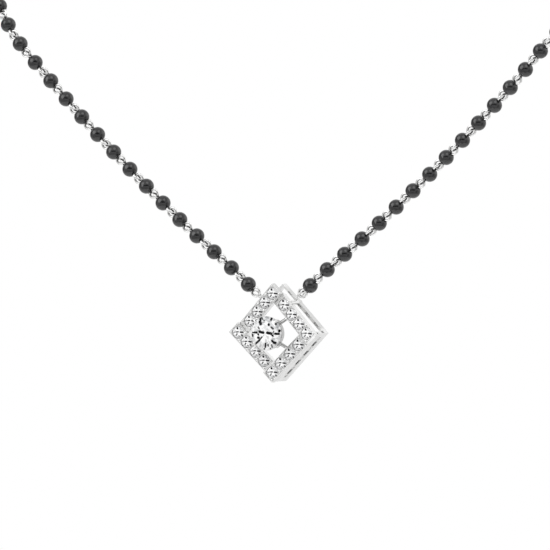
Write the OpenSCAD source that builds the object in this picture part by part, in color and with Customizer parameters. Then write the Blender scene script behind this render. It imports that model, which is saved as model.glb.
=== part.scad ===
// Mangalsutra: a string of black beads on linked eye pins, carrying a square open pendant
// of four stone-set strips round a raised solitaire. Millimetres, +Z up, front towards -Y.
// The origin is at the nape, in the middle of the clasp.

/* [Beads] */
// Diameter of a black bead
bead_d = 2.5; // [2.2:0.1:3]
// Outer diameter of the eye at each end of a bead's pin
eye_d = 1.85; // [1.6:0.05:2.1]
// Thickness of the wire of the eyes
eye_wire = 0.31; // [0.26:0.01:0.34]
// How deep an eye is let into the slot at the end of its bead
eye_sink = 0.34; // [0.28:0.02:0.36]
// Free play between two linked eyes
eye_play = 0.15; // [0.13:0.01:0.2]
// Diameter of the pin through a bead
pin_d = 0.25; // [0.16:0.01:0.25]
// Clearance round the pin and the eyes in a bead
drill_gap = 0.05; // [0.03:0.01:0.06]

/* [Set strips] */
// Diameter of the small stones
stone_d = 2; // [1.8:0.05:2.05]
// Distance between the small stones of a strip
stone_pitch = 2.15; // [2.13:0.01:2.2]
// Distance from the last stone of a strip to the first of the next
corner_pitch = 2.6; // [2.58:0.01:2.75]
// Number of stones in a strip
strip_stones = 4; // [4:1:6]
// Width of a strip
strip_w = 2.25; // [2.2:0.05:2.35]
// Thickness of a strip
strip_t = 0.95; // [0.9:0.05:1.1]
// Slope of a strip from its first stone back to its last, in degrees
strip_tilt = 5; // [3:0.5:6]
// Height of the grains that hold the small stones, above the strip
grain_h = 0.2; // [0.15:0.01:0.25]

/* [Gallery] */
// Thickness of the walls and of the rail behind the strips
wall_t = 0.5; // [0.4:0.05:0.5]
// Thickness of the rail between the two chain posts
top_rail_t = 0.3; // [0.25:0.05:0.4]
// Step from the face of a strip in to the wall behind it
wall_step = 0.06; // [0.04:0.01:0.1]
// Depth from the stones to the back of the frame
frame_depth = 4.25; // [4.1:0.05:4.6]
// Height of the rail at the back of the two open sides
rail_h = 1.15; // [1:0.05:1.3]
// Length of the slots in the rail and in the closed walls
slot_l = 0.95; // [0.6:0.05:1.2]
// Width of a slot sunk into the front of the rail
pocket_w = 0.26; // [0.2:0.02:0.3]
// Depth of a slot sunk into the front of the rail
pocket_t = 0.25; // [0.2:0.05:0.4]
// Height of a slot through a closed wall
slot_h = 0.7; // [0.5:0.05:0.8]
// Height of those slots' middle above the back
slot_rise = 1.6; // [1.5:0.05:1.8]
// Depth of the groove that joins the slots
groove_t = 0.12; // [0.08:0.01:0.15]
// Distance from the top corner along the side to a chain post
post_run = 4.1; // [3.6:0.1:4.6]
// Diameter of a chain post
post_d = 0.8; // [0.7:0.05:0.9]
// Distance of the chain post's middle inside the side
post_in = 0.2; // [0.15:0.05:0.25]
// Length of the shank between a chain post and its loop
shank_l = 0.6; // [0.5:0.05:0.7]

/* [Solitaire] */
// Diameter of the centre stone
centre_d = 5.6; // [5:0.1:6]
// Height of the centre stone's girdle in front of the small stones
centre_rise = 2.25; // [2.1:0.05:2.6]
// Diameter of the foot of the collet
collet_foot_d = 4.8; // [4.6:0.1:5]
// Height of the collet
collet_h = 1.6; // [1.4:0.05:1.7]
// Wall of the collet at its foot
collet_wall = 0.35; // [0.3:0.05:0.5]
// Thickness of the four arms that carry the collet
arm_d = 0.6; // [0.5:0.05:0.7]
// Thickness of a claw
claw_d = 0.42; // [0.36:0.02:0.5]

/* [Clasp] */
// Diameter of the barrel at the nape
clasp_d = 3.2; // [2.8:0.1:4]

/* [Hidden] */
// Route of the right half of the string: x, y, and height above the pendant's centre.
// It is flat in front, climbs round the side of the neck and ends at the nape.
route_points = [
    [9, -108, 10.4], [18.6, -108, 18], [31, -108, 28.75], [42.8, -108, 40.1],
    [51.2, -107.6, 49.15], [58.6, -101, 58.8], [64, -86, 69], [65.5, -66, 77],
    [62, -44, 83], [51, -22, 87], [34, -7, 89], [20, -1.2, 89.5], [10, 0, 89.5], [0, 0, 89.5]
];
route_steps = 12;

// Clearance between a cut stone and its seat
seat_gap = 0.03;
// Overlap of two solids that are soldered together
weld = 0.08;
tiny = 0.01;

// Proportions of a round brilliant, as shares of its radius, and the angles of its facets
table_share = 0.56;
star_share = 0.5;
lower_share = 0.77;
girdle_share = 0.05;
crown_angle = 34.5;
pavilion_angle = 40.75;

// Level of the strips' faces at their middle, and of the small stones' girdles below them
face_z = 0.1;
girdle_set = 0.08;
// Drilling below each small stone
azure_d = 0.9;
// Grains along a strip and at its corners, and how far their outsides are in from its edge
grain_r = 0.23;
grain_in = 0.12;
corner_grain_r = 0.18;
corner_grain_in = 0.03;

// Rim of the collet below the girdle, and the way cut for the girdle above it
collet_drop = 0.1;
seat_rise = 0.12;
// Depth of the round hole below the centre stone
collet_hole = 0.9;
// Top of a claw above the girdle, and how far its tip goes in over the stone and up
claw_rise = 0.2;
claw_hook = 0.55;
claw_tip = 0.28;
// How far an arm runs into its strip
arm_lap = 0.3;
// Thickness of a loop's shank, as a share of its wire
shank_share = 0.9;

// Ends of the barrel at the nape, as shares of its diameter
barrel_end = 0.62;
barrel_shoulder = 0.28;

wire_fn = 24;
round_fn = 48;

// Strip lengths, measured from the middle of its first stone
row_l = (strip_stones - 1) * stone_pitch;
row_mid = row_l / 2;
square_half = (row_l + corner_pitch) / 2;
head_over = 0.05;
head_end = strip_w / 2 + head_over;
tail_end = 2 * square_half - strip_w / 2 + weld;
side_half = square_half + strip_w / 2;
wall_half = side_half - wall_step;

// Levels of the gallery, from the small stones backwards
back_z = -frame_depth;
slot_z = back_z + slot_rise;
groove_margin = 0.9;

// The chain hangs from the middle of the frame's depth
eye_r = (eye_d - eye_wire) / 2;
chain_z = -1.95;
post_x = side_half - post_run;
post_y = side_half - post_in;
post_front_z = face_z - strip_t * 0.7;
post_back_z = back_z + rail_h / 4;
loop_y = post_y + post_d / 2 + shank_l + eye_d / 2 - weld;

// Spacing along the string
eye_x = bead_d / 2 - eye_sink + eye_d / 2;
link_step = eye_wire + eye_play;
pitch = 2 * eye_x + link_step;
end_step = eye_x + link_step;

neck_y = route_points[0][1];
drop_z = -route_points[len(route_points) - 1][2];

pave_names = [for (i = [1 : 4 * strip_stones]) str("pave_stone_", i < 10 ? "0" : "", i)];

// Vectors
function unit(v) = v / norm(v);
function reject(v, axis) = v - (v * axis) * axis;

// Smooth route through the chosen points, as short straight steps
side_turn = 135;
function side_point(x, y) =
    [x * cos(side_turn) + y * sin(side_turn), x * sin(side_turn) - y * cos(side_turn)];
loop_at = side_point(post_x, loop_y);
route_start = [loop_at[0], neck_y, loop_at[1]];
route_all = concat([route_start], route_points);
function mirrored(p) = [-p[0], p[1], p[2]];
function knot(i) =
    i < 0 ? 2 * route_all[0] - route_all[1] :
    i >= len(route_all) ? mirrored(route_all[len(route_all) - 2]) : route_all[i];
function curve(a, b, c, d, t) =
    0.5 * (2 * b + (c - a) * t + (2 * a - 5 * b + 4 * c - d) * t * t
    + (3 * b - a - 3 * c + d) * t * t * t);
last_knot = len(route_all) - 1;
route = concat(
    [for (i = [0 : last_knot - 1], j = [0 : route_steps - 1])
        curve(knot(i - 1), knot(i), knot(i + 1), knot(i + 2), j / route_steps)],
    [route_all[last_knot]]
);
run = [for (i = 0, s = 0; i < len(route);
    s = s + (i + 1 < len(route) ? norm(route[i + 1] - route[i]) : 0), i = i + 1) s];
route_l = run[len(run) - 1];
run_table = [for (i = [0 : len(run) - 1]) [run[i], i]];
function at(s) =
    let (f = lookup(s, run_table), i = min(floor(f), len(route) - 2))
    route[i] + (f - i) * (route[i + 1] - route[i]) + [0, 0, drop_z];
function heading(s) = unit(at(s + pitch / 2) - at(s - pitch / 2));

// The string is filled with whole beads, and the barrel takes what is left at the nape
clasp_reach = clasp_d + eye_d / 2;
bead_count = floor((route_l - 2 * end_step - clasp_reach) / pitch) + 1;
bead_s = [for (k = [0 : bead_count - 1]) end_step + k * pitch];
// A direction across the string that turns no more than the string does
bead_side = [for (k = 0, n = [0, -1, 0]; k < bead_count;
    k = k + 1, n = k < bead_count ? unit(reject(n, heading(bead_s[k]))) : n) n];
last_heading = heading(bead_s[bead_count - 1]);
clasp_eye = at(bead_s[bead_count - 1]) + end_step * last_heading;
clasp_l = 2 * (clasp_eye[0] - eye_d / 2 + weld);

// Puts its children at link k of the string: at point o, with X along heading t and Z along n.
// The half is 1 on the right and -1 on the left. Each link is a quarter turn from the last.
module at_link(k, half, o, t, n) {
    h = [half, 1, 1];
    x = [for (i = [0 : 2]) h[i] * t[i]];
    z = [for (i = [0 : 2]) h[i] * n[i]];
    y = cross(z, x);
    multmatrix([
        [x[0], y[0], z[0], h[0] * o[0]],
        [x[1], y[1], z[1], o[1]],
        [x[2], y[2], z[2], o[2]]
    ]) rotate([k % 2 == 0 ? 0 : 90, 0, 0]) children();
}

module at_bead(k, half) {
    at_link(k, half, at(bead_s[k]), heading(bead_s[k]), bead_side[k]) children();
}

// Puts its children in the pendant's own frame: X to the right, Y up, Z to the front
module in_pendant() {
    translate([0, neck_y + chain_z, drop_z]) rotate([90, 0, 0]) children();
}

// Puts its children at side k, with X from its first stone to its last and Y inwards.
// Side 0 is the upper left one, and each next one follows it round to the left.
module at_side(k) {
    rotate([0, 0, 225 + 90 * k]) children();
}

// Puts its children on the face of strip k, with the middle of its first stone at the origin
module on_strip(k) {
    at_side(k) translate([row_mid - square_half, -square_half, face_z])
        rotate([0, strip_tilt, 0]) translate([-row_mid, 0, 0]) children();
}

module eye() {
    rotate_extrude($fn = round_fn) translate([eye_r, 0]) circle(d = eye_wire, $fn = wire_fn);
}

// Round brilliant of radius r, its girdle's upper edge at z = 0
module brilliant(r) {
    g = girdle_share * r;
    ct = tan(crown_angle);
    pt = tan(pavilion_angle);
    half = 22.5;
    apothem = table_share * r * cos(half);
    star_r = apothem + star_share * (r - apothem);
    lower_r = r * (1 - lower_share);
    star_z = ct * (r - star_r * cos(half));
    lower_z = -g - pt * (r - lower_r * cos(half));
    points = concat(
        [for (i = [0 : 7]) [table_share * r * cos(45 * i), table_share * r * sin(45 * i),
            ct * r * (1 - table_share)]],
        [for (i = [0 : 7]) [star_r * cos(45 * i + half), star_r * sin(45 * i + half), star_z]],
        [for (i = [0 : 15]) [r * cos(half * i), r * sin(half * i), 0]],
        [for (i = [0 : 15]) [r * cos(half * i), r * sin(half * i), -g]],
        [for (i = [0 : 7]) [lower_r * cos(45 * i + half), lower_r * sin(45 * i + half), lower_z]],
        [[0, 0, -g - pt * r]]
    );
    // First index of each ring of points
    table = 0;
    star = 8;
    upper = 16;
    under = 32;
    lower = 48;
    culet = 56;
    faces = concat(
        [[for (i = [7 : -1 : 0]) table + i]],
        [for (i = [0 : 7]) [table + i, table + (i + 1) % 8, star + i]],
        [for (i = [0 : 7]) [table + i, star + i, upper + 2 * i, star + (i + 7) % 8]],
        [for (i = [0 : 7]) [star + i, upper + 2 * i + 1, upper + 2 * i]],
        [for (i = [0 : 7]) [star + i, upper + (2 * i + 2) % 16, upper + 2 * i + 1]],
        [for (i = [0 : 15]) [upper + i, upper + (i + 1) % 16, under + (i + 1) % 16, under + i]],
        [for (i = [0 : 7]) [under + 2 * i, under + 2 * i + 1, lower + i]],
        [for (i = [0 : 7]) [under + 2 * i + 1, under + (2 * i + 2) % 16, lower + i]],
        [for (i = [0 : 7]) [culet, lower + (i + 7) % 8, under + 2 * i, lower + i]]
    );
    polyhedron(points, faces);
}

// Space cut for a brilliant of radius r: its pavilion and girdle with the seat gap
module seat(r, up, hole_r, down) {
    open_r = r + seat_gap;
    fall = tan(pavilion_angle);
    lip = girdle_share * r + seat_gap;
    neck_z = -lip - (open_r - hole_r) * fall;
    rotate_extrude($fn = round_fn) polygon([
        [0, up], [open_r, up], [open_r, -lip], [hole_r, neck_z], [hole_r, -down], [0, -down]
    ]);
}

module strip_body() {
    translate([-head_end, -strip_w / 2, -strip_t]) cube([head_end + tail_end, strip_w, strip_t]);
    grain_y = strip_w / 2 - grain_r - grain_in;
    for (i = [0 : strip_stones - 2], s = [-1, 1])
        translate([(i + 0.5) * stone_pitch, s * grain_y, grain_h - grain_r])
            sphere(r = grain_r, $fn = wire_fn);
    corner = strip_w / 2 - corner_grain_r - corner_grain_in;
    for (x = [-corner, row_l + corner], s = [-1, 1])
        translate([x, s * corner, grain_h - corner_grain_r])
            sphere(r = corner_grain_r, $fn = wire_fn);
}

// Place of the slot between stone i of a strip and the next
function slot_x(i) = -square_half + (i + 0.5) * stone_pitch;

// Closed wall of side k, up into the middle of its sloping strip, with slots in a groove
module closed_wall(k) {
    groove_h = slot_h + 2 * weld;
    difference() {
        at_side(k) {
            translate([-wall_half, -wall_half, back_z])
                cube([2 * wall_half, wall_t, frame_depth + strip_t]);
        }
        on_strip(k) translate([-strip_w, -strip_w, -strip_t / 2])
            cube([row_l + 2 * strip_w + corner_pitch, 2 * strip_w, 3 * strip_t]);
        at_side(k) {
            translate([-wall_half + groove_margin, -wall_half - tiny, slot_z - groove_h / 2])
                cube([2 * (wall_half - groove_margin), groove_t + tiny, groove_h]);
            for (i = [0 : strip_stones - 1])
                translate([slot_x(i) - slot_l / 2, -wall_half - tiny, slot_z - slot_h / 2])
                    cube([slot_l, wall_t + 2 * tiny, slot_h]);
        }
    }
}

// Rail of an open side, slotted along its front below the chain post; s is the side's sense
module open_rail(k, s) {
    at_side(k) difference() {
        union() {
            translate([-wall_half, -wall_half, back_z]) cube([2 * wall_half, top_rail_t, rail_h]);
            translate([s > 0 ? -wall_half : -post_x, -wall_half, back_z])
                cube([wall_half + post_x, wall_t, rail_h]);
        }
        for (i = [0 : strip_stones - 1])
            if (post_x - s * slot_x(i) > slot_l / 2)
                translate([slot_x(i) - slot_l / 2, -wall_half + (wall_t - pocket_w) / 2,
                    back_z + rail_h - pocket_t])
                    cube([slot_l, pocket_w, pocket_t + tiny]);
    }
}

// Post between the strip and the rail, with a fixed loop for the chain on a shank; s is the
// side's sense
module chain_post(k, s) {
    at_side(k) {
        translate([s * post_x, -post_y, post_back_z])
            cylinder(d = post_d, h = post_front_z - post_back_z, $fn = round_fn);
        translate([s * post_x, -post_y, chain_z]) rotate([90, 0, 0])
            cylinder(d = eye_wire * shank_share, h = post_d / 2 + shank_l + weld, $fn = wire_fn);
        translate([s * post_x, -loop_y, chain_z]) rotate([0, 90, 0]) eye();
    }
}

// Straight round bar between two points in the plane x = 0
module bar(y1, z1, y2, z2, d1, d2) {
    l = norm([y2 - y1, z2 - z1]);
    translate([0, y1, z1]) rotate([-atan2(y2 - y1, z2 - z1), 0, 0])
        cylinder(d1 = d1, d2 = d2, h = l, $fn = wire_fn);
}

// Arm from the collet to the inner edge of a strip, and the claw above it
module arm(k) {
    foot_r = collet_foot_d / 2;
    foot_z = centre_rise - collet_drop - collet_h;
    claw_r = centre_d / 2 + seat_gap + claw_d / 2;
    bend_z = centre_rise + claw_rise;
    at_side(k) {
        bar(-foot_r + collet_wall / 2, foot_z + arm_d * 0.3,
            -square_half + strip_w / 2 - arm_lap, face_z - strip_t * 0.75, arm_d, arm_d * 0.9);
        bar(-foot_r - claw_d * 0.1, foot_z, -claw_r, bend_z, claw_d * 0.9, claw_d);
        translate([0, -claw_r, bend_z]) sphere(d = claw_d * 1.1, $fn = wire_fn);
        bar(-claw_r, bend_z, -claw_r + claw_hook, bend_z + claw_tip, claw_d * 0.9, claw_d * 0.6);
    }
}

module collet() {
    top_z = centre_rise - collet_drop;
    foot_z = top_z - collet_h;
    foot_r = collet_foot_d / 2;
    rim_r = centre_d / 2;
    rotate_extrude($fn = round_fn) polygon([
        [foot_r - collet_wall, foot_z], [foot_r, foot_z], [rim_r, top_z],
        [rim_r - collet_wall, top_z]
    ]);
}

module pendant_frame() {
    color("whitesmoke") in_pendant() difference() {
        union() {
            for (k = [0 : 3]) {
                on_strip(k) strip_body();
                arm(k);
            }
            for (k = [1, 2]) closed_wall(k);
            open_rail(0, -1);
            open_rail(3, 1);
            chain_post(0, -1);
            chain_post(3, 1);
            collet();
        }
        for (k = [0 : 3], i = [0 : strip_stones - 1])
            on_strip(k) translate([i * stone_pitch, 0, -girdle_set])
                seat(stone_d / 2, 1, azure_d / 2, strip_t);
        translate([0, 0, centre_rise])
            seat(centre_d / 2, seat_rise, collet_foot_d / 2 - collet_wall, collet_hole);
    }
}

module centre_stone() {
    color("aliceblue") in_pendant() translate([0, 0, centre_rise]) brilliant(centre_d / 2);
}

module pave_stone(i) {
    k = floor(i / strip_stones);
    color("aliceblue") in_pendant() on_strip(k)
        translate([(i % strip_stones) * stone_pitch, 0, -girdle_set]) brilliant(stone_d / 2);
}

// The sphere's seam is turned away from the slots at its ends
module half_beads(half) {
    slot_r = eye_d / 2 + drill_gap;
    color("#202022") for (k = [0 : bead_count - 1]) at_bead(k, half) difference() {
        rotate([0, 0, 90]) sphere(d = bead_d, $fn = round_fn);
        rotate([0, 90, 0])
            cylinder(d = pin_d + 2 * drill_gap, h = bead_d, center = true, $fn = wire_fn);
        for (s = [-1, 1]) translate([s * eye_x, 0, 0])
            cylinder(r = slot_r, h = eye_wire + 2 * drill_gap, center = true, $fn = round_fn);
    }
}

module half_eye_pins(half) {
    color("gainsboro") for (k = [0 : bead_count - 1]) at_bead(k, half) {
        rotate([0, 90, 0])
            cylinder(d = pin_d, h = 2 * (eye_x - eye_r), center = true, $fn = wire_fn);
        for (s = [-1, 1]) translate([s * eye_x, 0, 0]) eye();
    }
}

// Barrel at the nape with a fixed loop at each end, across the last eyes of the string
module clasp() {
    end_d = clasp_d * barrel_end;
    shoulder = clasp_d * barrel_shoulder;
    color("gainsboro") {
        rotate([0, 90, 0]) rotate_extrude($fn = round_fn) polygon([
            [0, -clasp_l / 2], [end_d / 2, -clasp_l / 2], [clasp_d / 2, -clasp_l / 2 + shoulder],
            [clasp_d / 2, clasp_l / 2 - shoulder], [end_d / 2, clasp_l / 2], [0, clasp_l / 2]
        ]);
        for (half = [-1, 1])
            at_link(bead_count, half, clasp_eye, last_heading, bead_side[bead_count - 1]) eye();
    }
}

pendant_frame();
centre_stone();
for (i = [0 : len(pave_names) - 1]) pave_stone(i);
half_beads(1);  // beads_right
half_beads(-1);  // beads_left
half_eye_pins(1);  // eye_pins_right
half_eye_pins(-1);  // eye_pins_left
clasp();
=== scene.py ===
"""Looks of a mangalsutra: black beads on linked eye pins, and a stone-set square pendant.

Metres, +Z up. The origin is at the nape, and the pendant hangs in front, towards -Y.
"""
import math

import bpy
import numpy as np
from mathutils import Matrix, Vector


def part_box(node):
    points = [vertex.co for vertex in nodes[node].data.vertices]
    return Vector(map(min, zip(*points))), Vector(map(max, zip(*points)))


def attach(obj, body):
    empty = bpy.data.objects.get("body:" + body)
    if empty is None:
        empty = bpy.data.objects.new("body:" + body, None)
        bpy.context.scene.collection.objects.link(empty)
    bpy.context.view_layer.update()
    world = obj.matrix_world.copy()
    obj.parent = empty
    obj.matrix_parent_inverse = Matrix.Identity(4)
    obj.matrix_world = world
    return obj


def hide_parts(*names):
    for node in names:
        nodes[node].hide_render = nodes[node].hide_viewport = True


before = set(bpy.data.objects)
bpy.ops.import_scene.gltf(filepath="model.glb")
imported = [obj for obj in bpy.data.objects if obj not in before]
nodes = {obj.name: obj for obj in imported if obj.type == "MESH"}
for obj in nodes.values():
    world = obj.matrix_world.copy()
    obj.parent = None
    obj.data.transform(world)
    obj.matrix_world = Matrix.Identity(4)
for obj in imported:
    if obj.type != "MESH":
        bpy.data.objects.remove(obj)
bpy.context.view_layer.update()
MM = 0.001

# The view. The photograph looks at the pendant from its right and a little from above, through
# a lens so long that near and far beads are of one size. The pendant's centre is low in it.
PHOTO_PX = 550
PX_PER_MM = 6.16
PENDANT_PX = (273.3, 333.0)
VIEW_AZIMUTH = math.radians(30)
VIEW_ELEVATION = math.radians(1.9)
VIEW_DISTANCE = 4.0
VIEW_CLIP = (0.1, 20)
SENSOR_MM = 36
# The small stones' girdles lie this far behind the centre stone's table
TABLE_RISE = 3.1 * MM

stone_lo, stone_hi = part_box("centre_stone")
pendant_centre = Vector((0, stone_lo.y + TABLE_RISE, (stone_lo.z + stone_hi.z) / 2))

view_right = Vector((math.cos(VIEW_AZIMUTH), math.sin(VIEW_AZIMUTH), 0))
view_back = Vector((math.sin(VIEW_AZIMUTH), -math.cos(VIEW_AZIMUTH), math.tan(VIEW_ELEVATION)))
view_back.normalize()
view_up = view_back.cross(view_right)
aim = (pendant_centre
       + view_right * ((PHOTO_PX / 2 - PENDANT_PX[0]) / PX_PER_MM * MM)
       + view_up * ((PENDANT_PX[1] - PHOTO_PX / 2) / PX_PER_MM * MM))

lens = bpy.data.cameras.new("long_lens")
lens.sensor_width = SENSOR_MM
lens.lens = SENSOR_MM * VIEW_DISTANCE / (PHOTO_PX / PX_PER_MM * MM)
lens.clip_start, lens.clip_end = VIEW_CLIP
camera = bpy.data.objects.new("camera", lens)
camera.location = aim + view_back * VIEW_DISTANCE
camera.rotation_mode = "QUATERNION"
camera.rotation_quaternion = (-view_back).to_track_quat("-Z", "Y")
bpy.context.collection.objects.link(camera)
bpy.context.scene.camera = camera
bpy.context.scene.view_settings.view_transform = "Standard"


class Wire:
    """A shader socket that takes part in Python sums. Each sum adds one Math node."""

    def __init__(self, tree, socket):
        self.tree, self.socket = tree, socket

    def math(self, operation, *others):
        node = self.tree.nodes.new("ShaderNodeMath")
        node.operation = operation
        for slot, value in zip(node.inputs, (self, *others)):
            feed(self.tree, slot, value)
        return Wire(self.tree, node.outputs[0])

    def from_left(self, operation, left):
        node = self.tree.nodes.new("ShaderNodeMath")
        node.operation = operation
        feed(self.tree, node.inputs[0], left)
        feed(self.tree, node.inputs[1], self)
        return Wire(self.tree, node.outputs[0])

    def __add__(self, other):
        return self.math("ADD", other)

    def __sub__(self, other):
        return self.math("SUBTRACT", other)

    def __rsub__(self, left):
        return self.from_left("SUBTRACT", left)

    def __mul__(self, other):
        return self.math("MULTIPLY", other)

    def __truediv__(self, other):
        return self.math("DIVIDE", other)

    def __mod__(self, other):
        return self.math("FLOORED_MODULO", other)

    def __abs__(self):
        return self.math("ABSOLUTE")

    __radd__ = __add__
    __rmul__ = __mul__

    def step(self, low, high):
        """0 below low and 1 above high, with a smooth rise between; low may be the higher."""
        node = self.tree.nodes.new("ShaderNodeMapRange")
        node.interpolation_type = "SMOOTHSTEP"
        node.clamp = False
        feed(self.tree, node.inputs["Value"], self)
        flip = low > high
        feed(self.tree, node.inputs["From Min"], min(low, high))
        feed(self.tree, node.inputs["From Max"], max(low, high))
        feed(self.tree, node.inputs["To Min"], 1.0 if flip else 0.0)
        feed(self.tree, node.inputs["To Max"], 0.0 if flip else 1.0)
        return Wire(self.tree, node.outputs["Result"])


def feed(tree, slot, value):
    """Links a wire to a socket, or sets the socket to a number, vector or colour."""
    if isinstance(value, Wire):
        tree.links.new(value.socket, slot)
    else:
        slot.default_value = value


class Recipe:
    """A node tree under construction, with one method that adds any node."""

    def __init__(self, tree):
        self.tree = tree
        tree.nodes.clear()

    def node(self, kind, settings=None, out=0, **slots):
        """Adds a node; settings come first, then its sockets by name with _ for a space."""
        node = self.tree.nodes.new("ShaderNode" + kind)
        for key, value in (settings or {}).items():
            setattr(node, key, value)
        for name, value in slots.items():
            feed(self.tree, find(node.inputs, name), value)
        return Wire(self.tree, node.outputs[out])

    def mix(self, factor, a, b):
        """Colour a where factor is 0 and b where it is 1."""
        node = self.tree.nodes.new("ShaderNodeMix")
        node.data_type = "RGBA"
        for slot, value in zip((node.inputs[0], node.inputs[6], node.inputs[7]), (factor, a, b)):
            feed(self.tree, slot, value)
        return Wire(self.tree, node.outputs[2])

    def dot(self, vector, direction):
        return self.node("VectorMath", {"operation": "DOT_PRODUCT"}, out="Value",
                         i0=vector, i1=tuple(direction))


def find(sockets, name):
    """The socket of that name, with _ for a space, or of that place, as in i0."""
    if name[0] == "i" and name[1:].isdigit():
        return sockets[int(name[1:])]
    return sockets[name.replace("_", " ")]


# The studio. A pale dome of light with softboxes high on the left and above, darker patches
# low in front and in a row where the viewer stands, and light clutter all round, which polished
# metal and beads need to show their shape. The camera itself sees plain white paper.
DOME_LIGHT = 0.74
GROUND_LIGHT = 0.64
LEAST_LIGHT = 0.02
# Heights between which the ground's light turns into the dome's, as shares of a radius
HORIZON = (-0.5, 0.3)
CLUTTER, CLUTTER_SCALE = 0.24, 2.4
BACKDROP = (1.0, 1.0, 1.0, 1.0)
# Direction as shares of right, up and back towards the viewer, half-angle, edge, and light
PATCHES = [((-0.78, 0.50, 0.30), 15, 12, 1.35), ((0.20, 0.80, 0.57), 13, 8, 1.1),
           ((0.85, 0.35, -0.10), 14, 10, 0.5), ((0.10, 0.00, -1.0), 45, 40, 0.16),
           ((-0.87, 0.00, 0.50), 18, 25, -0.05), ((-0.10, -0.80, 0.60), 20, 20, -0.18),
           ((-0.07, 0.21, 0.97), 6, 8, -0.85), ((-0.80, 0.22, -0.56), 20, 12, -0.6),
           ((-0.32, 0.20, 0.92), 5, 8, -0.75), ((-0.56, 0.20, 0.80), 5, 9, -0.55),
           ((0.18, 0.21, 0.96), 5, 8, -0.75), ((0.42, 0.20, 0.89), 4, 9, -0.65),
           ((0.80, -0.25, 0.50), 12, 10, -0.25)]

world = bpy.data.worlds.new("studio")
bpy.context.scene.world = world
world.use_nodes = True
sky = Recipe(world.node_tree)
ray = sky.node("TexCoord", out="Generated")
height = sky.dot(ray, (0, 0, 1))
clutter = sky.node("TexNoise", out="Fac", Vector=ray, Scale=CLUTTER_SCALE, Detail=2.0)
light = height.step(*HORIZON) * (DOME_LIGHT - GROUND_LIGHT) + GROUND_LIGHT
light = light + (clutter.step(0.3, 0.7) - 0.5) * CLUTTER
for (right, up, back), half_angle, edge, strength in PATCHES:
    towards = (view_right * right + view_up * up + view_back * back).normalized()
    cap = sky.dot(ray, towards).step(math.cos(math.radians(half_angle + edge)),
                                     math.cos(math.radians(half_angle)))
    light = light + cap * strength
light = light.math("MAXIMUM", LEAST_LIGHT)
seen = sky.node("LightPath", out="Is Camera Ray")
shown = sky.node("MixShader", Fac=seen,
                 i1=sky.node("Background", Strength=light, Color=(1, 1, 1, 1)),
                 i2=sky.node("Background", Strength=1.0, Color=BACKDROP))
out = world.node_tree.nodes.new("ShaderNodeOutputWorld")
world.node_tree.links.new(shown.socket, out.inputs["Surface"])

# A lamp high in front and left of the viewer, for the stones: metal doesn't mirror it
KEY_LIGHT = 1.03
KEY_SIZE = math.radians(20)
key = bpy.data.objects.new("key", bpy.data.lights.new("key", "SUN"))
key.data.energy = KEY_LIGHT
key.data.angle = KEY_SIZE
key.rotation_mode = "QUATERNION"
key.rotation_quaternion = (view_right * 0.4 - view_up * 0.6 - view_back).to_track_quat("-Z", "Y")
key.visible_glossy = False
bpy.context.collection.objects.link(key)

# The floor is a wide pale disc as far below as it would be from a neck
FLOOR_Z = -1.25
FLOOR_R = 1.5
FLOOR_SIDES = 96
floor_mesh = bpy.data.meshes.new("floor")
rim = np.linspace(0, math.tau, FLOOR_SIDES, endpoint=False)
floor_mesh.from_pydata(
    np.stack([np.cos(rim) * FLOOR_R, np.sin(rim) * FLOOR_R, rim * 0 + FLOOR_Z], 1).tolist(),
    [], [list(range(FLOOR_SIDES))])
floor = bpy.data.objects.new("floor", floor_mesh)
bpy.context.collection.objects.link(floor)


def finish(name):
    """A new material's recipe; shade() closes it."""
    material = bpy.data.materials.new(name)
    material.use_nodes = True
    recipe = Recipe(material.node_tree)
    recipe.material = material
    return recipe


def shade(recipe, **slots):
    """Closes a recipe with one Principled shader and gives its material."""
    shader = recipe.node("BsdfPrincipled", out="BSDF", **slots)
    output = recipe.tree.nodes.new("ShaderNodeOutputMaterial")
    recipe.tree.links.new(shader.socket, output.inputs["Surface"])
    return recipe.material


def dress(thing, material):
    """Gives an object's mesh one material in every slot."""
    if not thing.data.materials:
        thing.data.materials.append(material)
    for i in range(len(thing.data.materials)):
        thing.data.materials[i] = material


paper = finish("pale_floor")
dress(floor, shade(paper, Base_Color=(0.93, 0.93, 0.93, 1), Roughness=0.8))


# White gold of the pendant: cast, soldered, filed and polished. Fine marks of the polishing
# cloth run along it, the polish is duller in the corners, where painted shade also darkens its
# colour, and every edge is slightly rounded.
GOLD = (0.95, 0.95, 0.945, 1)
GOLD_SHADE = (0.78, 0.78, 0.775, 1)
# The painted shade in the corners
GOLD_CORNER_SHADE = (0.80, 0.80, 0.795, 1)
# Patches of duller polish and polishing marks, each by how many there are in a metre
DULL_PATCHES, POLISH_MARKS = 900.0, 26000.0
MARK_STRETCH = (1.0, 0.18, 0.35)
MARK_DEPTH = 0.01 * MM
POLISH_ROUGHNESS = 0.10


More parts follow.
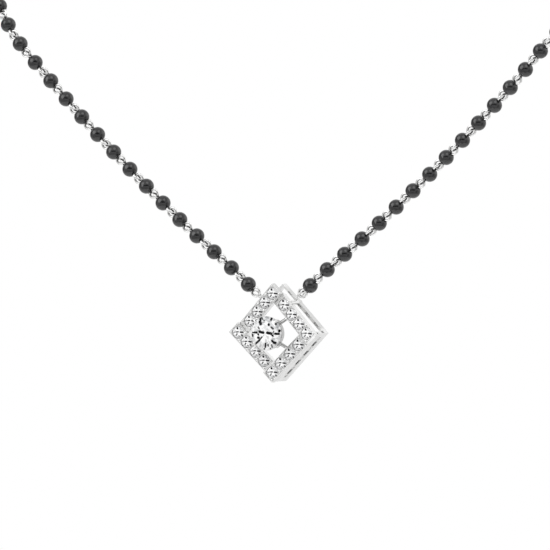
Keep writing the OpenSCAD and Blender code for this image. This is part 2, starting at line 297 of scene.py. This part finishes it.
def white_gold(name, edge_mm, corner_mm, painted_shades=None, corner_shade=GOLD_CORNER_SHADE,
               corner_sky=(0.65, 0.15), tarnish=0.6):
    """Polished white gold; an optional function gives masks and the tones of painted shade that
    lie on them. Corners get painted shade and a duller polish: a corner begins where less than
    the first share of the sky is open, and is full at the second."""
    gold = finish(name)
    place = gold.node("TexCoord", out="Object")
    cloud = gold.node("TexNoise", out="Fac", Vector=place, Scale=DULL_PATCHES, Detail=4.0)
    marks = gold.node("TexNoise", out="Fac", Scale=POLISH_MARKS, Detail=2.0,
                      Vector=gold.node("Mapping", Vector=place, Scale=MARK_STRETCH))
    rounded = gold.node("Bevel", {"samples": 6}, Radius=edge_mm * MM)
    relief = gold.node("Bump", Strength=0.05, Distance=MARK_DEPTH, Height=marks, Normal=rounded)
    open_sky = gold.node("AmbientOcclusion", {"samples": 8}, out="AO", Distance=corner_mm * MM)
    corner = open_sky.step(*corner_sky)
    polish = gold.mix(cloud.step(0.35, 0.75) * tarnish, GOLD, GOLD_SHADE)
    if painted_shades:
        for mask, tone in painted_shades(gold, place):
            polish = gold.mix(mask, polish, tone)
    roughness = POLISH_ROUGHNESS + cloud.step(0.4, 0.8) * 0.1 + marks * 0.04 + corner * 0.2
    return shade(gold, Base_Color=gold.mix(corner, polish, corner_shade), Metallic=1.0,
                 Roughness=roughness, Normal=relief)


# Painted shade darkens the groove in the two closed walls, the rail behind the right open side,
# and the collet and its arms; near-black painted shade lies in and beside the slots and round
# the grains.
# Places are those of the part's source, in millimetres: outwards from the pendant's middle,
# behind its stones, and along a side.
SLOT_SHADE = (0.24, 0.24, 0.24, 1)
GROOVE_SHADE = (0.76, 0.76, 0.755, 1)
RAIL_SHADE = (0.74, 0.74, 0.735, 1)
COLLET_SHADE = (0.50, 0.50, 0.495, 1)
CREASE_SHADE = (0.12, 0.12, 0.12, 1)
GROOVE_OUT, GROOVE_BEHIND, GROOVE_HALF = 5.47, 2.65, 0.43
WALL_OUT, WALL_T = 5.59, 0.5
SLOT_FIRST, SLOT_PITCH, SLOT_L, SLOT_HALF = -3.45, 2.15, 0.95, 0.35
RAIL_FRONT, RAIL_END = 3.10, 4.7
OPENING_HALF, CLAW_FOOT = 3.35, -2.1
CREASE_MM, STRIP_FACE = 0.20, 0.0
CREASE_PATCHES = 2600.0


def gallery_painted_shade(recipe, place):
    """Masks of painted shade with their tones: the groove's floor, the rail, the collet with its
    arms, the groove beside a slot, the slots' insides, and the creases round the grains and
    seats."""
    across = recipe.dot(place, (1 / MM, 0, 0))
    up = recipe.dot(place, (0, 0, 1 / MM)) - pendant_centre.z / MM
    behind = recipe.dot(place, (0, 1 / MM, 0)) - pendant_centre.y / MM
    below = (abs(across) - up) * math.sqrt(0.5)
    above = (abs(across) + up) * math.sqrt(0.5)
    along = above * across.math("SIGN")
    from_slot = abs(((along - SLOT_FIRST) / SLOT_PITCH + 0.5) % 1.0 - 0.5) * SLOT_PITCH
    level = abs(behind - GROOVE_BEHIND)
    groove = (below.step(GROOVE_OUT - 0.05, GROOVE_OUT - 0.03)
              * below.step(GROOVE_OUT + 0.05, GROOVE_OUT + 0.03)
              * level.step(GROOVE_HALF + 0.02, GROOVE_HALF))
    slot_edge_shade = (groove * level.step(GROOVE_HALF + 0.05, GROOVE_HALF - 0.05)
              * from_slot.step(SLOT_L / 2 + 0.12, SLOT_L / 2))
    slots = (below.step(GROOVE_OUT - 0.01, GROOVE_OUT - 0.03)
             * below.step(WALL_OUT - WALL_T, WALL_OUT - WALL_T + 0.02)
             * level.step(SLOT_HALF + 0.04, SLOT_HALF + 0.01))
    rails = (above.step(WALL_OUT - WALL_T - 0.1, WALL_OUT - WALL_T)
             * behind.step(RAIL_FRONT - 0.2, RAIL_FRONT - 0.05)
             * below.step(RAIL_END, RAIL_END - 0.4) * across.step(0.2, 1.0))
    collet = (((abs(across) + abs(up)) * math.sqrt(0.5)).step(OPENING_HALF, OPENING_HALF - 0.1)
              * behind.step(CLAW_FOOT - 0.3, CLAW_FOOT))
    tight_sky = recipe.node("AmbientOcclusion", {"samples": 8}, out="AO",
                            Distance=CREASE_MM * MM)
    patchy = recipe.node("TexNoise", out="Fac", Vector=place, Scale=CREASE_PATCHES, Detail=1.0)
    creases = (tight_sky.step(0.85, 0.50) * behind.step(STRIP_FACE + 0.5, STRIP_FACE + 0.3)
               * patchy.step(0.42, 0.60))
    return ((groove, GROOVE_SHADE), (rails, RAIL_SHADE), (collet, COLLET_SHADE),
            (slot_edge_shade * 0.75, SLOT_SHADE), (slots, SLOT_SHADE), (creases, CREASE_SHADE))


dress(nodes["pendant_frame"],
      white_gold("white_gold", edge_mm=0.10, corner_mm=0.4, painted_shades=gallery_painted_shade))


# Round brilliants: cut stones with a flat table, held by claws or grains. Light that comes back
# through the crown is white, and the pavilion throws back dark strokes. They are charted
# in shares of the radius, from the stone's middle: both ends, half the width, and how dark.
STONE_WHITE = (1.0, 1.0, 1.0, 1)
STONE_GREY = (0.50, 0.51, 0.52, 1)
STONE_BLACK = (0.003, 0.003, 0.004, 1)
CENTRE_FIRE = [
    (0.14, 0.05, 0.40, 0.01, 0.072, 1.0), (0.42, -0.04, 0.52, -0.13, 0.050, 1.0),
    (0.57, 0.14, 0.52, 0.05, 0.040, 0.8), (0.60, 0.02, 0.55, -0.06, 0.030, 0.6),
    (0.67, 0.00, 0.92, -0.01, 0.060, 1.0), (0.90, -0.01, 0.97, -0.01, 0.036, 1.0),
    (-0.12, 0.05, -0.37, 0.10, 0.070, 1.0), (-0.43, 0.14, -0.34, 0.17, 0.045, 0.7),
    (-0.56, 0.05, -0.70, 0.05, 0.055, 1.0), (-0.68, 0.05, -0.84, 0.05, 0.036, 1.0),
    (-0.59, -0.56, -0.38, -0.38, 0.056, 1.0),
    (-0.37, -0.36, -0.22, -0.21, 0.044, 0.9), (-0.20, -0.19, -0.07, -0.09, 0.030, 0.4),
    (0.46, -0.41, 0.58, -0.52, 0.060, 1.0), (0.58, -0.52, 0.70, -0.53, 0.066, 1.0),
    (0.03, -0.58, 0.01, -0.79, 0.052, 1.0), (0.06, -0.36, 0.06, -0.48, 0.040, 0.4),
    (0.43, -0.66, 0.48, -0.79, 0.050, 0.8), (0.20, -0.64, 0.20, -0.71, 0.046, 0.9),
    (-0.05, -0.90, -0.05, -0.90, 0.052, 0.9), (0.35, -0.87, 0.35, -0.87, 0.046, 0.8),
    (-0.33, 0.86, -0.31, 0.72, 0.058, 1.0), (-0.34, 0.66, -0.30, 0.56, 0.086, 1.0),
    (-0.25, 0.93, -0.18, 0.83, 0.048, 0.9), (-0.20, 0.64, -0.08, 0.65, 0.040, 0.5),
    (-0.07, 0.75, -0.07, 0.75, 0.050, 0.8), (-0.46, 0.36, -0.40, 0.29, 0.045, 0.8),
    (0.02, 0.94, 0.15, 0.97, 0.040, 0.45), (0.15, 0.97, 0.21, 0.90, 0.040, 0.5),
    (0.94, 0.15, 0.96, 0.17, 0.078, 1.0), (-0.87, -0.12, -0.86, -0.13, 0.078, 1.0),
    (-0.47, -0.24, -0.43, -0.25, 0.068, 1.0), (-0.46, -0.05, -0.46, -0.06, 0.058, 1.0),
    (0.24, 0.53, 0.24, 0.52, 0.072, 1.0), (0.71, 0.55, 0.72, 0.55, 0.064, 0.9),
    (0.41, 0.37, 0.53, 0.29, 0.050, 0.9), (0.40, 0.80, 0.45, 0.88, 0.060, 1.0),
    (0.59, 0.80, 0.59, 0.76, 0.040, 0.6), (0.20, 0.67, 0.34, 0.72, 0.040, 0.4),
    (0.20, -0.21, 0.20, -0.23, 0.065, 0.35), (0.71, -0.69, 0.80, -0.69, 0.035, 0.3),
    (0.60, -0.28, 0.52, -0.30, 0.035, 0.25), (-0.18, 0.28, -0.10, 0.36, 0.040, 0.2),
    (0.12, 0.24, 0.22, 0.20, 0.060, 0.25), (-0.08, -0.62, -0.16, -0.80, 0.040, 0.25),
    (-0.30, -0.68, -0.36, -0.78, 0.045, 0.3), (0.82, 0.38, 0.86, 0.26, 0.045, 0.3),
    (0.24, -0.42, 0.32, -0.58, 0.035, 0.25), (-0.62, 0.30, -0.72, 0.36, 0.045, 0.25)]
SMALL_FIRE = [
    (-0.06, 0.10, -0.36, 0.09, 0.100, 0.92), (-0.50, 0.05, -0.90, 0.03, 0.085, 0.60),
    (0.32, 0.06, 0.80, 0.02, 0.110, 0.97), (-0.22, 0.69, -0.20, 0.66, 0.155, 1.00),
    (-0.26, -0.24, -0.40, -0.42, 0.100, 0.90), (0.60, -0.44, 0.73, -0.56, 0.110, 0.95),
    (0.78, -0.58, 0.90, -0.64, 0.085, 0.55), (0.05, -0.56, 0.29, -0.68, 0.090, 0.60),
    (-0.83, -0.62, -0.62, -0.56, 0.085, 0.50), (0.88, 0.66, 0.92, 0.44, 0.085, 0.55),
    (0.12, 0.94, 0.12, 0.52, 0.060, 0.30), (0.44, 0.92, 0.38, 0.56, 0.060, 0.42),
    (0.38, 0.56, 0.62, 0.42, 0.055, 0.35), (-0.60, 0.86, -0.82, 0.50, 0.070, 0.36),
    (-0.10, -0.86, 0.10, -0.94, 0.085, 0.48), (-0.50, 0.40, -0.60, 0.26, 0.055, 0.30)]
RAYS, RINGS = 16, 4
# Facets of the crown whose directions differ by less than this send back the same light
SAME_FACET = 0.02
RIM_DARK = 0.10


def stroke(recipe, place, x1, y1, x2, y2, half_width):
    """1 within half a width of the line between two ends, in the plane of the table."""
    line = Vector((x2 - x1, 0, y2 - y1))
    rest = recipe.node("VectorMath", {"operation": "SUBTRACT"}, i0=place, i1=(x1, 0, y1))
    if line.length:
        share = recipe.dot(rest, line / line.length_squared)
        share = share.math("MAXIMUM", 0.0).math("MINIMUM", 1.0)
        nearest = recipe.node("VectorMath", {"operation": "SCALE"}, i0=tuple(line), Scale=share)
        rest = recipe.node("VectorMath", {"operation": "SUBTRACT"}, i0=rest, i1=nearest)
    away = recipe.node("VectorMath", {"operation": "LENGTH"}, out="Value", i0=rest)
    return away.step(half_width * 1.5, half_width * 0.85)


def brilliant(name, node, fire, depth, facets):
    """One stone's fire, laid out for the photograph's view at this depth behind the stone's
    front, in radii, and the share of grey in its facets."""
    low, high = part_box(node)
    radius = (high.x - low.x) / 2
    middle = (low + high) / 2
    stone = finish(name)
    # Shares of the radius across and up, carried along the photograph's view to that depth
    slant = math.tan(VIEW_AZIMUTH)
    place = stone.node("TexCoord", out="Object")
    across = (stone.dot(place, (1 / radius, slant / radius, 0))
              - (middle.x + slant * (low.y + depth * radius)) / radius)
    up = stone.dot(place, (0, 0, 1 / radius)) - middle.z / radius
    place = stone.node("CombineXYZ", X=across, Y=0.0, Z=up)
    reach = stone.node("VectorMath", {"operation": "LENGTH"}, out="Value", i0=place)
    dark = reach.step(0.90, 1.0) * (RIM_DARK * facets)
    for *ends, half_width, weight in fire:
        dark = dark.math("MAXIMUM", stroke(stone, place, *ends, half_width) * weight)
    # Each facet of the crown, and each facet of the pavilion seen through it, sends back its
    # own share of light: the pavilion's are cells between rays and rings
    facet = stone.node("NewGeometry", out="True Normal")
    crown = stone.node("TexWhiteNoise", {"noise_dimensions": "3D"}, out="Value",
                       Vector=stone.node("VectorMath", {"operation": "SNAP"}, i0=facet,
                                         i1=(SAME_FACET,) * 3))
    turns = up.math("ARCTAN2", across) / math.tau
    ring = (reach * RINGS).math("FLOOR")
    ray = (turns * RAYS + ring * 0.5).math("FLOOR")
    pavilion = stone.node("TexWhiteNoise", {"noise_dimensions": "2D"}, out="Value",
                          Vector=stone.node("CombineXYZ", X=ray, Y=ring, Z=0.0))
    grey = (crown.step(0.4, 1.0) * reach.step(0.3, 0.6) * 0.6
            + pavilion.step(0.35, 1.0) * 0.7)
    glow = stone.mix(grey.math("MINIMUM", 1.0) * facets, STONE_WHITE, STONE_GREY)
    return shade(stone, Base_Color=stone.mix(dark, glow, STONE_BLACK), Roughness=0.03,
                 Specular_IOR_Level=0.12)


dress(nodes["centre_stone"],
      brilliant("centre_diamond", "centre_stone", CENTRE_FIRE, depth=0.16, facets=1.0))
for node in sorted(n for n in nodes if n.startswith("pave_stone")):
    dress(nodes[node], brilliant(node + "_diamond", node, SMALL_FIRE, depth=0.43, facets=0.6))


# The string. Black onyx beads, turned and polished, each drilled for its pin and slotted at
# both ends for the eyes. The stone has faint bands, and the polish the odd soft spot.
ONYX = (0.008, 0.008, 0.009, 1)
ONYX_BAND = (0.016, 0.016, 0.017, 1)
BANDS, SOFT_SPOTS = 700.0, 3200.0
onyx = finish("black_onyx")
place = onyx.node("TexCoord", out="Object")
band = onyx.node("TexNoise", out="Fac", Vector=place, Scale=BANDS, Detail=3.0, Distortion=0.6)
soft = onyx.node("TexNoise", out="Fac", Vector=place, Scale=SOFT_SPOTS, Detail=2.0)
onyx = shade(onyx, Base_Color=onyx.mix(band.step(0.4, 0.7), ONYX, ONYX_BAND),
             Roughness=0.12 + soft.step(0.5, 0.8) * 0.08, Specular_IOR_Level=0.82)
for half in ("left", "right"):
    dress(nodes["beads_" + half], onyx)

# The clasp at the nape, a turned barrel of the same white gold with a loop soldered to each end
dress(nodes["clasp"], white_gold("white_gold_clasp", edge_mm=0.08, corner_mm=0.4))

# The eye pins: one wire of white gold for each bead, bent round at both ends into an eye that
# leaves a seam. Each eye is hooked into the next bead's. The route and the spacing are those of
# the part's source, in millimetres.
ROUTE = np.array([
    (4.062, -108, 6.254), (9, -108, 10.4), (18.6, -108, 18), (31, -108, 28.75),
    (42.8, -108, 40.1), (51.2, -107.6, 49.15), (58.6, -101, 58.8), (64, -86, 69),
    (65.5, -66, 77),
    (62, -44, 83), (51, -22, 87), (34, -7, 89), (20, -1.2, 89.5), (10, 0, 89.5), (0, 0, 89.5)])
ROUTE_STEPS = 12
BEADS = 53
PITCH, FIRST = 4.13, 2.295
EYE_X, EYE_R, WIRE_R, PIN_R = 1.835, 0.74, 0.185, 0.125
# The neck of the wire between pin and eye, and the angles at which the eye opens and closes
NECK, OPENS, CLOSES = 0.12, math.radians(35), math.radians(334)
EYE_STEPS, SIDES = 44, 12

# A curve through the points: 0.5 (2b + (c-a)t + (2a-5b+4c-d)t^2 + (3b-a-3c+d)t^3)
past = np.vstack([2 * ROUTE[0] - ROUTE[1], ROUTE, ROUTE[-2] * (-1, 1, 1)])
a, b, c, d = (past[i:len(ROUTE) - 1 + i, None] for i in range(4))
t = (np.arange(ROUTE_STEPS) / ROUTE_STEPS)[None, :, None]
curve = 0.5 * (2 * b + (c - a) * t + (2 * a - 5 * b + 4 * c - d) * t ** 2
               + (3 * b - a - 3 * c + d) * t ** 3)
curve = np.vstack([curve.reshape(-1, 3), ROUTE[-1:]])
run = np.concatenate([[0], np.cumsum(np.linalg.norm(np.diff(curve, axis=0), axis=1))])


def on_string(s):
    """Points on the string at the distances s from the pendant's loop."""
    return np.stack([np.interp(s, run, curve[:, i]) for i in range(3)], 1) - (0, 0, ROUTE[-1, 2])


def unit(v):
    return v / np.linalg.norm(v, axis=-1, keepdims=True)


bead_s = FIRST + PITCH * np.arange(BEADS)
bead_at = on_string(bead_s)
along_x = unit(on_string(bead_s + PITCH / 2) - on_string(bead_s - PITCH / 2))
# A direction across the string that turns no more than the string does
across_z = [np.array((0.0, -1.0, 0.0))]
for heading in along_x[1:]:
    across_z.append(unit(across_z[-1] - across_z[-1].dot(heading) * heading))
across_z = np.array(across_z)

# One wire's middle line in its own plane, round one eye, through the bead and round the other.
# An eye is the circle (x - r cos, r sin) about its middle x; share eases the pin into it
turn = np.linspace(0, CLOSES, EYE_STEPS)
share = np.clip(turn / OPENS, 0, 1)
share = share * share * (3 - 2 * share)
bend = np.stack([EYE_X - EYE_R * np.cos(turn) - NECK * (1 - share),
                 EYE_R * np.sin(turn) * share], 1)
line = np.vstack([-bend[::-1], bend])
thick = PIN_R + (WIRE_R - PIN_R) * np.concatenate([share[::-1], share])
slope = unit(np.gradient(line, axis=0))
beside = np.stack([-slope[:, 1], slope[:, 0]], 1)
round_wire = np.linspace(0, math.tau, SIDES, endpoint=False)
# The wire's skin: middle line + thickness (cos along beside, sin straight out of the plane)
wire = np.concatenate([
    line[:, None] + beside[:, None] * (thick[:, None] * np.cos(round_wire))[..., None],
    (thick[:, None] * np.sin(round_wire))[..., None]], 2)
# How far each point of the wire faces the middle of its eye, and the pin none of it
to_middle = unit(np.stack([np.sign(line[:, 0]) * EYE_X - line[:, 0], -line[:, 1]], 1))
inward = (beside * to_middle).sum(1)[:, None] * np.cos(round_wire)
inward = np.clip(inward, 0, 1) * np.concatenate([share[::-1], share])[:, None]
rings = len(wire)
grid = np.arange(rings * SIDES).reshape(rings, SIDES)
quads = np.stack([grid[:-1], np.roll(grid, -1, 1)[:-1], np.roll(grid, -1, 1)[1:], grid[1:]], 2)
quads = quads.reshape(-1, 4)
ends = [grid[0][::-1].tolist(), grid[-1].tolist()]

# The insides of the eyes are painted dark as painted shade, and darkest in the corners
WIRE_INSIDE_SHADE = (0.09, 0.09, 0.09, 1)
WIRE_CORNER_SHADE = (0.02, 0.02, 0.02, 1)


def eye_painted_shade(recipe, place):
    """A mask of painted shade over the insides of the eyes, with its tone."""
    inside = recipe.node("Attribute", {"attribute_name": "inward"}, out="Fac")
    return ((inside.step(0.25, 0.95), WIRE_INSIDE_SHADE),)


wire_gold = white_gold("white_gold_wire", edge_mm=0.03, corner_mm=0.5, painted_shades=eye_painted_shade,
                       corner_shade=WIRE_CORNER_SHADE, corner_sky=(0.75, 0.35), tarnish=0.1)
for half, sense in (("right", 1), ("left", -1)):
    mirror = np.array((sense, 1, 1))
    x_axis, z_axis = along_x * mirror, across_z * mirror
    y_axis = np.cross(z_axis, x_axis)
    # Each wire lies a quarter turn from the last
    odd = (np.arange(BEADS) % 2 == 1)[:, None]
    y_axis, z_axis = np.where(odd, z_axis, y_axis), np.where(odd, -y_axis, z_axis)
    frames = np.stack([x_axis, y_axis, z_axis], 1)
    points = np.einsum("rsi,kij->krsj", wire, frames) + (bead_at * mirror)[:, None, None]
    faces = []
    for k in range(BEADS):
        faces += (quads + k * rings * SIDES).tolist()
        faces += [[i + k * rings * SIDES for i in end] for end in ends]
    mesh = bpy.data.meshes.new("eye_wires_" + half)
    mesh.from_pydata((points.reshape(-1, 3) * MM).tolist(), [], faces)
    mesh.polygons.foreach_set("use_smooth", [True] * len(mesh.polygons))
    inside = mesh.attributes.new("inward", "FLOAT", "POINT")
    inside.data.foreach_set("value", np.tile(inward.ravel(), BEADS).astype(np.float32))
    wires = bpy.data.objects.new("eye_wires_" + half, mesh)
    bpy.context.collection.objects.link(wires)
    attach(wires, "root")
    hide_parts("eye_pins_" + half)
    dress(wires, wire_gold)
